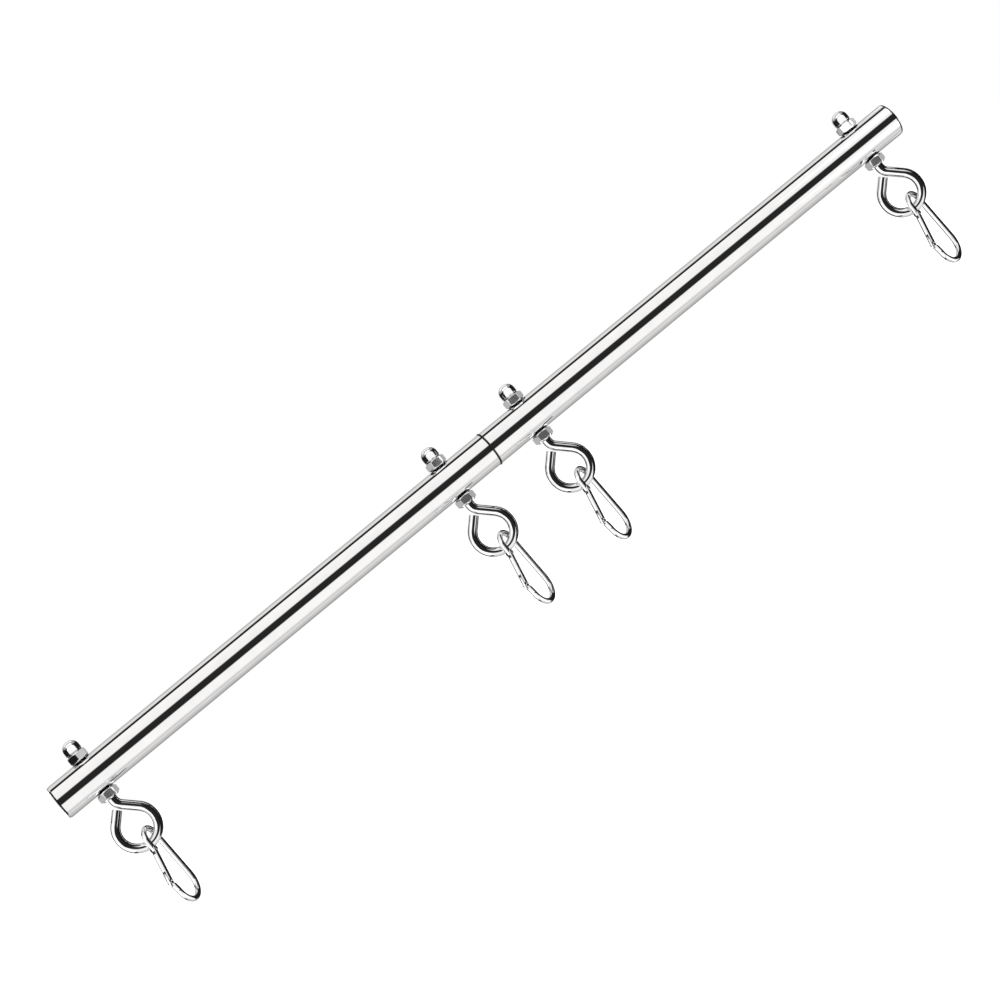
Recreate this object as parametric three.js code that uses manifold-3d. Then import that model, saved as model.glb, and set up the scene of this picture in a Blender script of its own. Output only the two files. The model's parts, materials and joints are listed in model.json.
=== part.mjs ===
// Take-apart spreader bar: two polished tubes screwed end to end, with four eye bolts through them
// and a spring snap hook hanging in each eye. Millimetres, +Z up. The bar lies along X, the eyes
// hang down, and the origin is on the bar's axis in the middle of the joint between the halves.
import * as THREE from 'three';
import { mergeVertices } from 'three/addons/utils/BufferGeometryUtils.js';
import Module from 'manifold-3d';

const wasm = await Module();
wasm.setup();

// Clearances, and how finely arcs are stepped
const GAP = 0.3;
const SEAT_GAP = 0.1;
const ARC_STEP = THREE.MathUtils.degToRad(15);
const FACETS = {
  tube: 40, inner: 32, turned: 24, endRound: 20, dome: 18, hole: 16, gate: 14, wire: 10, spring: 4,
};
const CAP_DOME_STEPS = 3;
const NUT_DOME_STEPS = 4;

// How far a cutting tool runs past the piece it cuts
const OVERRUN = 1;

// Tubes
const TUBE_RADIUS = 12.5;
const TUBE_WALL = 1.5;
const HALF_LENGTH = 365;
const BORE_RADIUS = TUBE_RADIUS - TUBE_WALL;

// Seam washer, and the screwed joint inside the tubes
const WASHER_THICKNESS = 1.0;
const WASHER_RADIUS = 13.0;
const TUBE_FACE = WASHER_THICKNESS / 2 + SEAT_GAP;
const STUD_RADIUS = 6;
const STUD_GRIP = 21;
const STUD_CHAMFER = 1;
const STUD_INSET = 1;
const PLUG_LENGTH = 26;
const PLUG_RADIUS = BORE_RADIUS - 0.2;

// End caps
const DOME_HEIGHT = 2.4;
const CAP_RADIUS = TUBE_RADIUS - 0.2;
const SPIGOT_LENGTH = 9;

// Where the eye bolts stand, from each end and from the seam
const END_MARGIN = 28;
const SEAM_MARGIN = 34;

// M8 thread, hex nut and cap nut
const THREAD_RADIUS = 4.0;
const THREAD_HOLE = THREAD_RADIUS + GAP;
const TUBE_HOLE = THREAD_RADIUS + 0.4;
const ACROSS_FLATS = 13;
const NUT_HEIGHT = 6.5;
const NUT_CHAMFER = 0.75;
const NUT_LAND = 0.2;
const CAP_NUT_HEIGHT = 15;
const DOME_RADIUS = 5.9;
const DOME_SHOULDER = 11.4;
const CAP_THREAD_DEPTH = 11;
const BOLT_TOP = TUBE_RADIUS + CAP_THREAD_DEPTH - 1;
const BOLT_TOP_CHAMFER = 1;
const BOLT_FOOT_CHAMFER = 0.7;
const BOLT_FOOT_INSET = 1;

// Eye: a straight shank, a bend of 45 degrees, and three quarters of a ring between two tangents
const EYE_WIRE = 3.3;
const RING_RADIUS = 13.8;
const RING_OFFSET = 0.5;
const KNEE_DEPTH = 11.5;
const KNEE_RADIUS = 8;
const TIP_GAP = 1.0;
const KNEE_Z = -TUBE_RADIUS - KNEE_DEPTH;
const RING_Z = KNEE_Z - RING_RADIUS * Math.SQRT2 - RING_OFFSET;

// Snap hook, in its own plane: u runs from gate to spine, v up, and (0, 0) is the axis it swings on.
// The eye's wire curves, so it clears the hook best with that axis a little inside its centre line.
const SWING_INSET = 0.9;
const HOOK_WIRE = 2.0;
const TOP_RADIUS = 7.4;
const TOP_OFFSET = 0.2;
const TOP_HEIGHT = 8.4;
const BOW_RADIUS = 12.6;
const BOW_OFFSET = -2.6;
const BOW_DEPTH = 46.9;
const PIVOT = new THREE.Vector2(TOP_OFFSET - TOP_RADIUS, -5.0);
const LATCH = new THREE.Vector2(-17.1, -26.8);
const TONGUE_HALF = 0.7;
const TONGUE_WIDTH_HALF = HOOK_WIRE - 0.2;

// Gate: a drilled bar, slotted at both ends
const GATE_RADIUS = 2.1;
const TONGUE_RADIUS = GATE_RADIUS - 0.3;
const TONGUE_HEIGHT = GATE_RADIUS + 1.5;
const CROSS_HOLE_HALF = GATE_RADIUS + OVERRUN;
const GATE_PAST_LATCH = 1.7;
const PIVOT_SLOT_END = 3.7;
const LATCH_SLOT_LENGTH = 8.9;
const LATCH_WALL = 0.9;
const NECK_LENGTH = 5.6;
const WIRE_CUT_BACK = 7;
const RIVET_RADIUS = 0.75;
const RIVET_HEAD_RADIUS = 1.5;
const RIVET_HEAD_HEIGHT = 0.5;
const RIVET_HEAD_EDGE = 0.1;
const RIVET_CROWN_RADIUS = 1.0;
const LATCH_PIN_RADIUS = 0.6;
const LATCH_PIN_HALF = 2.6;
const LATCH_PIN_SET_BACK = 0.3;
const SPRING_BORE = 1.3;
const SPRING_START = 2.6;
const SPRING_END = 12.6;
const SPRING_RADIUS = 0.75;
const SPRING_WIRE = 0.2;
const SPRING_TURNS = 5;
const SPRING_STEPS = 6;

// How each hook hangs: its place on the ring, its turn about the vertical, and the lean that puts
// its weight under the eye
const SEAT_ANGLE = THREE.MathUtils.degToRad(12.5);
const HOOK_TURN = THREE.MathUtils.degToRad(53.5);
const HOOK_LEAN = THREE.MathUtils.degToRad(5);

const FINISHES = {
  tube: { color: 0xdfe1e4, roughness: 0.06 },
  cap: { color: 0xdcdee0, roughness: 0.12 },
  nut: { color: 0xb9bbbd, roughness: 0.2 },
  wire: { color: 0xc9cbce, roughness: 0.12 },
  hook: { color: 0xd6d8db, roughness: 0.15 },
  pin: { color: 0xa9abad, roughness: 0.3 },
  inner: { color: 0x8f9295, roughness: 0.4 },
  washer: { color: 0x141414, roughness: 0.6, metalness: 0 },
};

// Where each eye bolt stands. An eye can be tightened at any turn: eyeTurn is its turn about Z, in
// degrees, with its hook and hex nut, and capNutTurn is how much further its cap nut is turned.
const STATIONS = [
  { name: 'left_outer', x: -HALF_LENGTH + END_MARGIN, eyeTurn: 9, capNutTurn: 19 },
  { name: 'left_inner', x: -SEAM_MARGIN, eyeTurn: -2, capNutTurn: 5 },
  { name: 'right_inner', x: SEAM_MARGIN, eyeTurn: -4, capNutTurn: -5 },
  { name: 'right_outer', x: HALF_LENGTH - END_MARGIN, eyeTurn: -14.5, capNutTurn: -5 },
];

// ---- solids ----

function toSolid(geometry) {
  const bare = new THREE.BufferGeometry();
  bare.setAttribute('position', geometry.attributes.position);
  bare.setIndex(geometry.index);
  const merged = mergeVertices(bare, 1e-4);
  const corners = merged.index.array;
  const kept = [];
  for (let i = 0; i < corners.length; i += 3) {
    const [a, b, c] = [corners[i], corners[i + 1], corners[i + 2]];
    if (a !== b && b !== c && c !== a) kept.push(a, b, c);
  }
  const mesh = new wasm.Mesh({
    numProp: 3,
    vertProperties: merged.attributes.position.array,
    triVerts: new Uint32Array(kept),
  });
  return new wasm.Manifold(mesh);
}

function toGeometry(solid) {
  const mesh = solid.getMesh();
  const geometry = new THREE.BufferGeometry();
  geometry.setAttribute('position', new THREE.BufferAttribute(mesh.vertProperties, 3));
  geometry.setIndex(new THREE.BufferAttribute(mesh.triVerts, 1));
  const faceted = geometry.toNonIndexed();
  faceted.computeVertexNormals();
  return faceted;
}

// A profile of [radius, height] pairs, anticlockwise, turned about Z
function turned(profile, sides) {
  const points = profile.map(([radius, height]) => new THREE.Vector2(radius, height));
  return new THREE.LatheGeometry(points, sides).rotateX(Math.PI / 2);
}

function rod(radius, low, high, sides) {
  return turned([[0, low], [radius, low], [radius, high], [0, high]], sides);
}

function box(low, high) {
  const size = high.map((value, axis) => value - low[axis]);
  const centre = high.map((value, axis) => (value + low[axis]) / 2);
  return new THREE.BoxGeometry(...size).translate(...centre);
}

function circle(radius, sides) {
  const shape = new THREE.Shape();
  for (let i = 0; i < sides; i += 1) {
    const angle = (i / sides) * 2 * Math.PI;
    shape[i ? 'lineTo' : 'moveTo'](radius * Math.cos(angle), radius * Math.sin(angle));
  }
  return shape;
}

// The corners of a flat path drawn in (x, z): one step along a line, one for each ARC_STEP of an arc
function cornersOf(path) {
  const corners = path.curves.flatMap((curve) => {
    const turn = curve.isEllipseCurve ? Math.abs(curve.aEndAngle - curve.aStartAngle) : 0;
    return curve.getPoints(Math.max(1, Math.round(turn / ARC_STEP))).slice(0, -1);
  });
  corners.push(path.curves.at(-1).getPoint(1));
  return corners.map((corner) => new THREE.Vector3(corner.x, 0, corner.y));
}

// A route that an extrusion follows from corner to corner
class Route extends THREE.Curve {
  constructor(corners) {
    super();
    this.corners = corners;
    this.steps = corners.length - 1;
  }

  getPointAt(t) {
    return this.corners[Math.round(t * this.steps)].clone();
  }

  getTangentAt(t) {
    const i = Math.round(t * this.steps);
    const before = this.corners[Math.max(i - 1, 0)];
    const after = this.corners[Math.min(i + 1, this.steps)];
    return after.clone().sub(before).normalize();
  }
}

function wireAlong(corners, radius, sides) {
  const extrudePath = new Route(corners);
  return new THREE.ExtrudeGeometry(circle(radius, sides), { steps: extrudePath.steps, extrudePath });
}

// ---- tubes and their joint ----

function tube() {
  const length = HALF_LENGTH - TUBE_FACE;
  const wall = [[BORE_RADIUS, 0], [TUBE_RADIUS, 0], [TUBE_RADIUS, length], [BORE_RADIUS, length]];
  const pipe = turned([...wall, wall[0]], FACETS.tube).rotateY(Math.PI / 2);
  let solid = toSolid(pipe.translate(TUBE_FACE, 0, 0));
  for (const x of [SEAM_MARGIN, HALF_LENGTH - END_MARGIN]) {
    const drill = rod(TUBE_HOLE, -2 * TUBE_RADIUS, 2 * TUBE_RADIUS, FACETS.hole).translate(x, 0, 0);
    solid = solid.subtract(toSolid(drill));
  }
  return toGeometry(solid);
}

function endCap() {
  const profile = [
    [0, -SPIGOT_LENGTH], [PLUG_RADIUS, -SPIGOT_LENGTH], [PLUG_RADIUS, SEAT_GAP], [CAP_RADIUS, SEAT_GAP],
  ];
  const domeSphere = (CAP_RADIUS ** 2 + DOME_HEIGHT ** 2) / (2 * DOME_HEIGHT);
  for (let i = 0; i <= CAP_DOME_STEPS; i += 1) {
    const radius = CAP_RADIUS * (1 - i / CAP_DOME_STEPS);
    const rise = Math.sqrt(domeSphere ** 2 - radius ** 2) - (domeSphere - DOME_HEIGHT);
    profile.push([radius, 2 * SEAT_GAP + rise]);
  }
  return turned(profile, FACETS.tube).rotateY(Math.PI / 2).translate(HALF_LENGTH, 0, 0);
}

function plug(boreRadius) {
  const [near, far] = [TUBE_FACE, TUBE_FACE + PLUG_LENGTH];
  const wall = [[boreRadius, near], [PLUG_RADIUS, near], [PLUG_RADIUS, far], [boreRadius, far]];
  return turned([...wall, wall[0]], FACETS.inner).rotateY(Math.PI / 2);
}

function joiningStud() {
  const [low, high] = [-STUD_GRIP - TUBE_FACE, PLUG_LENGTH - STUD_INSET];
  const nose = STUD_RADIUS - STUD_CHAMFER;
  const profile = [
    [0, low], [nose, low], [STUD_RADIUS, low + STUD_CHAMFER],
    [STUD_RADIUS, high - STUD_CHAMFER], [nose, high], [0, high],
  ];
  return turned(profile, FACETS.turned).rotateY(Math.PI / 2);
}

function seamWasher() {
  const [inner, half] = [STUD_RADIUS + GAP, WASHER_THICKNESS / 2];
  const wall = [[inner, -half], [WASHER_RADIUS, -half], [WASHER_RADIUS, half], [inner, half]];
  return turned([...wall, wall[0]], FACETS.inner).rotateY(Math.PI / 2);
}

// ---- nuts and eye bolts ----

// A hexagon bar with its corners turned off at the ends that are asked for
function hexagon(height, chamferTop) {
  const corner = ACROSS_FLATS / Math.sqrt(3);
  const drop = (corner - ACROSS_FLATS / 2) * Math.tan(Math.PI / 6) + NUT_LAND;
  const tip = corner - NUT_CHAMFER;
  const high = chamferTop ? [[corner, height - drop], [tip, height]] : [[corner, height]];
  const profile = [[0, 0], [tip, 0], [corner, drop], ...high, [0, height]];
  const turnedOff = turned(profile, FACETS.turned);
  const blank = new THREE.CylinderGeometry(corner, corner, height, 6);
  blank.rotateX(Math.PI / 2).rotateZ(Math.PI / 6).translate(0, 0, height / 2);
  return toSolid(blank).intersect(toSolid(turnedOff));
}

function hexNut() {
  const top = -TUBE_RADIUS - SEAT_GAP;
  const hole = toSolid(rod(THREAD_HOLE, -OVERRUN, NUT_HEIGHT + OVERRUN, FACETS.hole));
  return toGeometry(hexagon(NUT_HEIGHT, true).subtract(hole)).translate(0, 0, top - NUT_HEIGHT);
}

function capNut(turn) {
  const profile = [[0, 0], [DOME_RADIUS, 0]];
  for (let i = 0; i <= NUT_DOME_STEPS; i += 1) {
    const angle = (i / NUT_DOME_STEPS) * (Math.PI / 2);
    const height = DOME_SHOULDER + (CAP_NUT_HEIGHT - DOME_SHOULDER) * Math.sin(angle);
    profile.push([i === NUT_DOME_STEPS ? 0 : DOME_RADIUS * Math.cos(angle), height]);
  }
  const hole = toSolid(rod(THREAD_HOLE, -OVERRUN, CAP_THREAD_DEPTH, FACETS.hole));
  const dome = toSolid(turned(profile, FACETS.dome));
  const nut = hexagon(NUT_HEIGHT, false).add(dome).subtract(hole);
  const degrees = THREE.MathUtils.degToRad(turn);
  return toGeometry(nut).rotateZ(degrees).translate(0, 0, TUBE_RADIUS + SEAT_GAP);
}

function eyeRoute() {
  const bend = KNEE_RADIUS * Math.tan(Math.PI / 8);
  const tangent = RING_RADIUS * Math.SQRT1_2;
  const tip = (RING_RADIUS - EYE_WIRE - TIP_GAP) * Math.SQRT1_2;
  const path = new THREE.Path();
  path.moveTo(0, -TUBE_RADIUS - NUT_HEIGHT / 2);
  path.lineTo(0, KNEE_Z + bend);
  path.absarc(KNEE_RADIUS, KNEE_Z + bend, KNEE_RADIUS, Math.PI, 1.25 * Math.PI, false);
  path.absarc(RING_OFFSET, RING_Z, RING_RADIUS, Math.PI / 4, -1.25 * Math.PI, true);
  path.lineTo(RING_OFFSET - tangent + tip, RING_Z + tangent + tip);
  return cornersOf(path);
}

function eyeBolt() {
  const foot = -TUBE_RADIUS - NUT_HEIGHT + BOLT_FOOT_INSET;
  const shank = turned([
    [0, foot], [THREAD_RADIUS - BOLT_FOOT_CHAMFER, foot], [THREAD_RADIUS, foot + BOLT_FOOT_CHAMFER],
    [THREAD_RADIUS, BOLT_TOP - BOLT_TOP_CHAMFER], [THREAD_RADIUS - BOLT_TOP_CHAMFER, BOLT_TOP],
    [0, BOLT_TOP],
  ], FACETS.hole);
  const eye = wireAlong(eyeRoute(), EYE_WIRE, FACETS.wire);
  return toGeometry(toSolid(eye).add(toSolid(shank)));
}

// ---- snap hooks ----

// Gate frame: x runs across the gate towards the spine, z along it away from the pivot,
// y across the plane of the hook
const gateAxis = LATCH.clone().sub(PIVOT);
const gateAngle = Math.atan2(-gateAxis.x, -gateAxis.y);
const latchAt = gateAxis.length();
const gateEnd = latchAt + GATE_PAST_LATCH;

function onGate(geometry) {
  return geometry.rotateX(Math.PI).rotateY(gateAngle).translate(PIVOT.x, 0, PIVOT.y);
}

function hookRoute() {
  const top = new THREE.Vector2(TOP_OFFSET, TOP_HEIGHT - TOP_RADIUS);
  const bow = new THREE.Vector2(BOW_OFFSET, BOW_RADIUS - BOW_DEPTH);
  const centres = bow.clone().sub(top);
  const spread = Math.asin((BOW_RADIUS - TOP_RADIUS) / centres.length());
  const spine = Math.atan2(centres.x, -centres.y) + spread;
  const path = new THREE.Path();
  path.moveTo(PIVOT.x, PIVOT.y + GATE_RADIUS + GAP);
  path.lineTo(PIVOT.x, top.y);
  path.absarc(top.x, top.y, TOP_RADIUS, Math.PI, spine, true);
  path.absarc(bow.x, bow.y, BOW_RADIUS, spine, -Math.PI, true);
  path.lineTo(PIVOT.x + gateAxis.x, PIVOT.y + gateAxis.y);
  return cornersOf(path);
}

// A hole or pin square to the plane of the hook
function crossHole(radius) {
  return rod(radius, -CROSS_HOLE_HALF, CROSS_HOLE_HALF, FACETS.wire).rotateX(Math.PI / 2);
}

function pivotTongue() {
  const eye = rod(TONGUE_RADIUS, -TONGUE_HALF, TONGUE_HALF, FACETS.hole).rotateX(Math.PI / 2);
  const neck = box(
    [-TONGUE_WIDTH_HALF, -TONGUE_HALF, 0],
    [TONGUE_WIDTH_HALF, TONGUE_HALF, TONGUE_HEIGHT],
  );
  const hole = crossHole(RIVET_RADIUS + GAP);
  return [eye, neck, hole].map((part) => toSolid(part.translate(PIVOT.x, 0, PIVOT.y)));
}

function hookBody() {
  const [eye, neck, rivetHole] = pivotTongue();
  const wide = 2 * HOOK_WIRE;
  const clear = onGate(box([-wide, -wide, gateEnd - WIRE_CUT_BACK], [wide, wide, gateEnd + GAP]));
  const [outer, inner] = [-GATE_RADIUS, GATE_RADIUS - LATCH_WALL - GAP];
  const nose = onGate(box(
    [outer, -TONGUE_HALF, gateEnd - NECK_LENGTH],
    [inner, TONGUE_HALF, gateEnd + HOOK_WIRE],
  ));
  const pinHole = onGate(crossHole(LATCH_PIN_RADIUS + SEAT_GAP)
    .translate(-LATCH_PIN_SET_BACK, 0, latchAt));
  const wire = toSolid(wireAlong(hookRoute(), HOOK_WIRE, FACETS.wire));
  const body = wire.subtract(toSolid(clear)).add(toSolid(nose)).add(eye).add(neck);
  return toGeometry(body.subtract(rivetHole).subtract(toSolid(pinHole)));
}

function gate() {
  const wide = 2 * GATE_RADIUS;
  const slot = TONGUE_HALF + GAP;
  const blank = rod(GATE_RADIUS, -GATE_RADIUS, gateEnd, FACETS.gate);
  const roundEnd = rod(GATE_RADIUS, -wide, wide, FACETS.endRound).rotateX(Math.PI / 2);
  const length = box([-wide, -wide, 0], [wide, wide, gateEnd + OVERRUN]);
  const latchFrom = gateEnd - LATCH_SLOT_LENGTH;
  const notch = LATCH_PIN_RADIUS + GAP;
  const cuts = [
    box([-wide, -slot, -wide], [wide, slot, PIVOT_SLOT_END]),
    box([-wide, -slot, latchFrom], [GATE_RADIUS - LATCH_WALL, slot, gateEnd + OVERRUN]),
    box([-wide, -wide, latchAt - notch], [notch - LATCH_PIN_SET_BACK, wide, latchAt + notch]),
    crossHole(RIVET_RADIUS + GAP),
    rod(SPRING_BORE, 0, SPRING_END + GAP, FACETS.wire),
  ];
  let solid = toSolid(blank).intersect(toSolid(roundEnd).add(toSolid(length)));
  for (const cut of cuts) solid = solid.subtract(toSolid(cut));
  return onGate(toGeometry(solid));
}

function gateRivet() {
  const [seat, far] = [GATE_RADIUS + SEAT_GAP, GATE_RADIUS + SEAT_GAP + RIVET_HEAD_HEIGHT];
  const edge = seat + RIVET_HEAD_EDGE;
  const profile = [
    [0, -far], [RIVET_CROWN_RADIUS, -far], [RIVET_HEAD_RADIUS, -edge], [RIVET_HEAD_RADIUS, -seat],
    [RIVET_RADIUS, -seat], [RIVET_RADIUS, seat],
    [RIVET_HEAD_RADIUS, seat], [RIVET_HEAD_RADIUS, edge], [RIVET_CROWN_RADIUS, far], [0, far],
  ];
  return onGate(turned(profile, FACETS.wire).rotateX(Math.PI / 2));
}

function latchPin() {
  const pin = rod(LATCH_PIN_RADIUS, -LATCH_PIN_HALF, LATCH_PIN_HALF, FACETS.wire);
  pin.rotateX(Math.PI / 2);
  return onGate(pin.translate(-LATCH_PIN_SET_BACK, 0, latchAt));
}

function springRoute() {
  const steps = SPRING_STEPS * SPRING_TURNS;
  const [low, high] = [SPRING_START + SPRING_WIRE, SPRING_END - SPRING_WIRE];
  return Array.from({ length: steps + 1 }, (_, i) => {
    const angle = (i / SPRING_STEPS) * 2 * Math.PI;
    const height = low + ((high - low) * i) / steps;
    return new THREE.Vector3(
      SPRING_RADIUS * Math.cos(angle),
      SPRING_RADIUS * Math.sin(angle),
      height,
    );
  });
}

function gateSpring() {
  return onGate(wireAlong(springRoute(), SPRING_WIRE, FACETS.spring));
}

// ---- the assembly ----

function named(name, geometry, finish) {
  const material = new THREE.MeshStandardMaterial({ metalness: 1, ...FINISHES[finish] });
  const mesh = new THREE.Mesh(geometry, material);
  mesh.name = name;
  return mesh;
}

function half(side) {
  const group = new THREE.Group();
  group.add(named(`${side}_tube`, tube(), 'tube'));
  group.add(named(`${side}_end_cap`, endCap(), 'cap'));
  const boreRadius = side === 'left' ? STUD_RADIUS + GAP : STUD_RADIUS + SEAT_GAP;
  group.add(named(`${side}_joint_plug`, plug(boreRadius), 'inner'));
  if (side === 'left') group.rotation.z = Math.PI;
  return group;
}

function hook(name) {
  const group = new THREE.Group();
  group.add(named(`${name}_hook_body`, hookBody(), 'hook'));
  group.add(named(`${name}_gate`, gate(), 'hook'));
  group.add(named(`${name}_gate_rivet`, gateRivet(), 'pin'));
  group.add(named(`${name}_latch_pin`, latchPin(), 'pin'));
  group.add(named(`${name}_gate_spring`, gateSpring(), 'pin'));
  const seat = new THREE.Vector3(Math.sin(SEAT_ANGLE), 0, -Math.cos(SEAT_ANGLE));
  group.position.set(RING_OFFSET, 0, RING_Z).addScaledVector(seat, RING_RADIUS - SWING_INSET);
  const swingAxis = new THREE.Vector3(Math.cos(SEAT_ANGLE), 0, Math.sin(SEAT_ANGLE));
  group.quaternion.setFromAxisAngle(swingAxis, HOOK_LEAN);
  group.rotateZ(HOOK_TURN);
  return group;
}

function station({ name, x, eyeTurn, capNutTurn }) {
  const group = new THREE.Group();
  group.add(named(`${name}_eye_bolt`, eyeBolt(), 'wire'));
  group.add(named(`${name}_hex_nut`, hexNut(), 'nut'));
  group.add(named(`${name}_cap_nut`, capNut(capNutTurn), 'nut'));
  group.add(hook(name));
  group.position.x = x;
  group.rotation.z = THREE.MathUtils.degToRad(eyeTurn);
  return group;
}

const bar = new THREE.Group();
bar.add(half('left'), half('right'));
bar.add(named('joining_stud', joiningStud(), 'inner'));
bar.add(named('seam_washer', seamWasher(), 'washer'));
for (const place of STATIONS) bar.add(station(place));

export default bar;
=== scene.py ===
import itertools
import json
import math

import bmesh
import bpy
import numpy as np
from mathutils import Matrix, Vector


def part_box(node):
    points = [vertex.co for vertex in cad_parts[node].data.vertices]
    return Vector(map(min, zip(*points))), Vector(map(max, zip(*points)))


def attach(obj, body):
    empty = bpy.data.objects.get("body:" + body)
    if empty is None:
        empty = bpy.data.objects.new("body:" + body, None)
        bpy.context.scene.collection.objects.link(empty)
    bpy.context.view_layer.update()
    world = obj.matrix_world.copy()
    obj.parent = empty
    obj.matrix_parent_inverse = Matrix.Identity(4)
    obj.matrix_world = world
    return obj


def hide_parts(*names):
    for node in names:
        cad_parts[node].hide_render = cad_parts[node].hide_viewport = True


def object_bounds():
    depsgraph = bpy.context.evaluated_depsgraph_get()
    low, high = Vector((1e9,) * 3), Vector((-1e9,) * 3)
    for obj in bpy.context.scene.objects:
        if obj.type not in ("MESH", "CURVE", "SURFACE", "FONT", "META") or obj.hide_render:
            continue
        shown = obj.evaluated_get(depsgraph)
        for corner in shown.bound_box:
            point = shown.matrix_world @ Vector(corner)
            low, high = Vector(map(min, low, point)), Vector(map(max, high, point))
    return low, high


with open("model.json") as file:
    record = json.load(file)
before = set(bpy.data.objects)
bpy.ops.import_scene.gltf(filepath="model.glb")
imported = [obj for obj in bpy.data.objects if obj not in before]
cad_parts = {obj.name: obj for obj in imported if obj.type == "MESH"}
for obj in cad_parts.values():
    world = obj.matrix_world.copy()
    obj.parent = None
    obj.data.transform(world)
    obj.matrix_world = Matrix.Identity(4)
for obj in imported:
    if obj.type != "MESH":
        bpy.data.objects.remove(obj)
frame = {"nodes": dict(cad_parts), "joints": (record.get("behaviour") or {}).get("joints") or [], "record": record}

cad_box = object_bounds()
record = frame["record"]
joints = {joint["name"]: joint for joint in frame["joints"]}
body_of = {node: body for body, nodes in record["behaviour"]["bodies"].items() for node in nodes}
slot_of = {entry["node"]: entry["material_slot"] for entry in record["subparts"]}
MM = 0.001
STATIONS = ("left_outer", "left_inner", "right_inner", "right_outer")

# ---- sizes in millimetres and angles in radians ----

tube_low, tube_high = (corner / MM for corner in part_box("right_tube"))
TUBE_RADIUS = tube_high.z
TUBE_FACE = tube_low.x
HALF_LENGTH = tube_high.x
TUBE_WALL = 1.5
BORE_RADIUS = TUBE_RADIUS - TUBE_WALL
SEAM_LIP = 0.2
RIM_LENGTH = 1.1
RIM_START = HALF_LENGTH - RIM_LENGTH
RIM_DROP = 0.5
FINE_EDGE = 0.03
TUBE_HOLE = 4.4

washer_low, washer_high = (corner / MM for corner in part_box("seam_washer"))
STUD_RADIUS = 6.0
STUD_PITCH = 1.75
PLUG_RADIUS = 10.8
PLUG_LENGTH = 26.0

CAP_RADIUS = 12.3
CAP_HEIGHT = 2.6
SPIGOT_LENGTH = 9.0

# How deep a thread is cut, as a share of its pitch, and the gap left in a loose fit
THREAD_DEPTH = 0.54
CLEARANCE = 0.3

BOLT_RADIUS = 4.0
BOLT_PITCH = 1.25
ACROSS_FLATS = 13.0
NUT_HEIGHT = 6.5
NUT_CORNER = ACROSS_FLATS / math.sqrt(3)
NUT_CONE = math.radians(33)
NUT_EDGE = 0.38
NUT_SEAT = TUBE_RADIUS + 0.1
CAP_NUT_HEIGHT = 15.0
DOME_RADIUS = 5.9
DOME_SHOULDER = 9.6
BOLT_TOP = 22.5
BOLT_FOOT = -TUBE_RADIUS - NUT_HEIGHT + 1.0

EYE_WIRE = 3.3
RING_RADIUS = 13.8
RING_OFFSET = 0.5
KNEE_RADIUS = 8.0
KNEE_Z = -TUBE_RADIUS - 11.5
RING_Z = KNEE_Z - RING_RADIUS * math.sqrt(2) - RING_OFFSET
TIP_GAP = 1.0

# The snap hook's own frame: x from gate to spine, z up, and the axis it swings on at the origin
HOOK_WIRE = 2.0
TOP_RADIUS = 7.4
TOP_CENTRE = Vector((0.2, 1.0))
BOW_RADIUS = 12.6
BOW_CENTRE = Vector((-2.6, -34.3))
PIVOT = Vector((TOP_CENTRE.x - TOP_RADIUS, -5.0))
LATCH = Vector((-17.1, -26.8))
GATE_RADIUS = 2.1
GATE_LENGTH = (LATCH - PIVOT).length
GATE_END = GATE_LENGTH + 1.7
TONGUE_HALF = 0.7
SLOT_HALF = 1.0
PIVOT_SLOT_END = 3.7
LATCH_SLOT_LENGTH = 8.9
LATCH_WALL = 0.9
NECK_LENGTH = 5.6
RIVET_RADIUS = 0.75
RIVET_HEAD = 1.5
LATCH_PIN_RADIUS = 0.6
LATCH_PIN_HALF = 2.6
LATCH_PIN_SET_BACK = 0.3
SPRING_BORE = 1.3
SPRING_RADIUS = 0.75
SPRING_WIRE = 0.2
SPRING_TURNS = 5
SPRING_ENDS = (2.8, 12.4)

# How finely curves are drawn
SIDES = 96
TUBE_SIDES = 192
WIRE_SIDES = 40
CORNER_STEPS = 5
RINGS_PER_TURN = 8
ARC_STEP = math.radians(3)
# Edges that turn by more than these are bevelled, or shaded sharp
BEVEL_ANGLE = math.radians(38)
SHARP_ANGLE = math.radians(32)


# ---- mesh tools ----


def mesh_object(name, vertices, faces):
    mesh = bpy.data.meshes.new(name)
    mesh.from_pydata([tuple(vertex) for vertex in np.asarray(vertices) * MM], [], faces)
    tidy = bmesh.new()
    tidy.from_mesh(mesh)
    bmesh.ops.recalc_face_normals(tidy, faces=tidy.faces)
    tidy.to_mesh(mesh)
    tidy.free()
    made = bpy.data.objects.new(name, mesh)
    bpy.context.scene.collection.objects.link(made)
    return made


def skin(name, rows, closed=False):
    """A surface through equal rings of points: capped at both ends, or closed on itself."""
    rows = np.asarray(rows, float)
    count, sides = rows.shape[:2]
    faces = []
    for i in range(count if closed else count - 1):
        here, there = i * sides, (i + 1) % count * sides
        for j in range(sides):
            k = (j + 1) % sides
            faces.append((here + j, here + k, there + k, there + j))
    if not closed:
        faces.append(tuple(range(sides)))
        faces.append(tuple(range((count - 1) * sides, count * sides)))
    return mesh_object(name, rows.reshape(-1, 3), faces)


def lathe(name, profile, sides=SIDES, closed=False):
    """A profile of (radius, height) pairs turned about Z."""
    angles = np.linspace(0, 2 * math.pi, sides, endpoint=False)
    circle = np.stack([np.cos(angles), np.sin(angles)], 1)
    rows = [np.column_stack([radius * circle, np.full(sides, height)]) for radius, height in profile]
    return skin(name, rows, closed)


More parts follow.
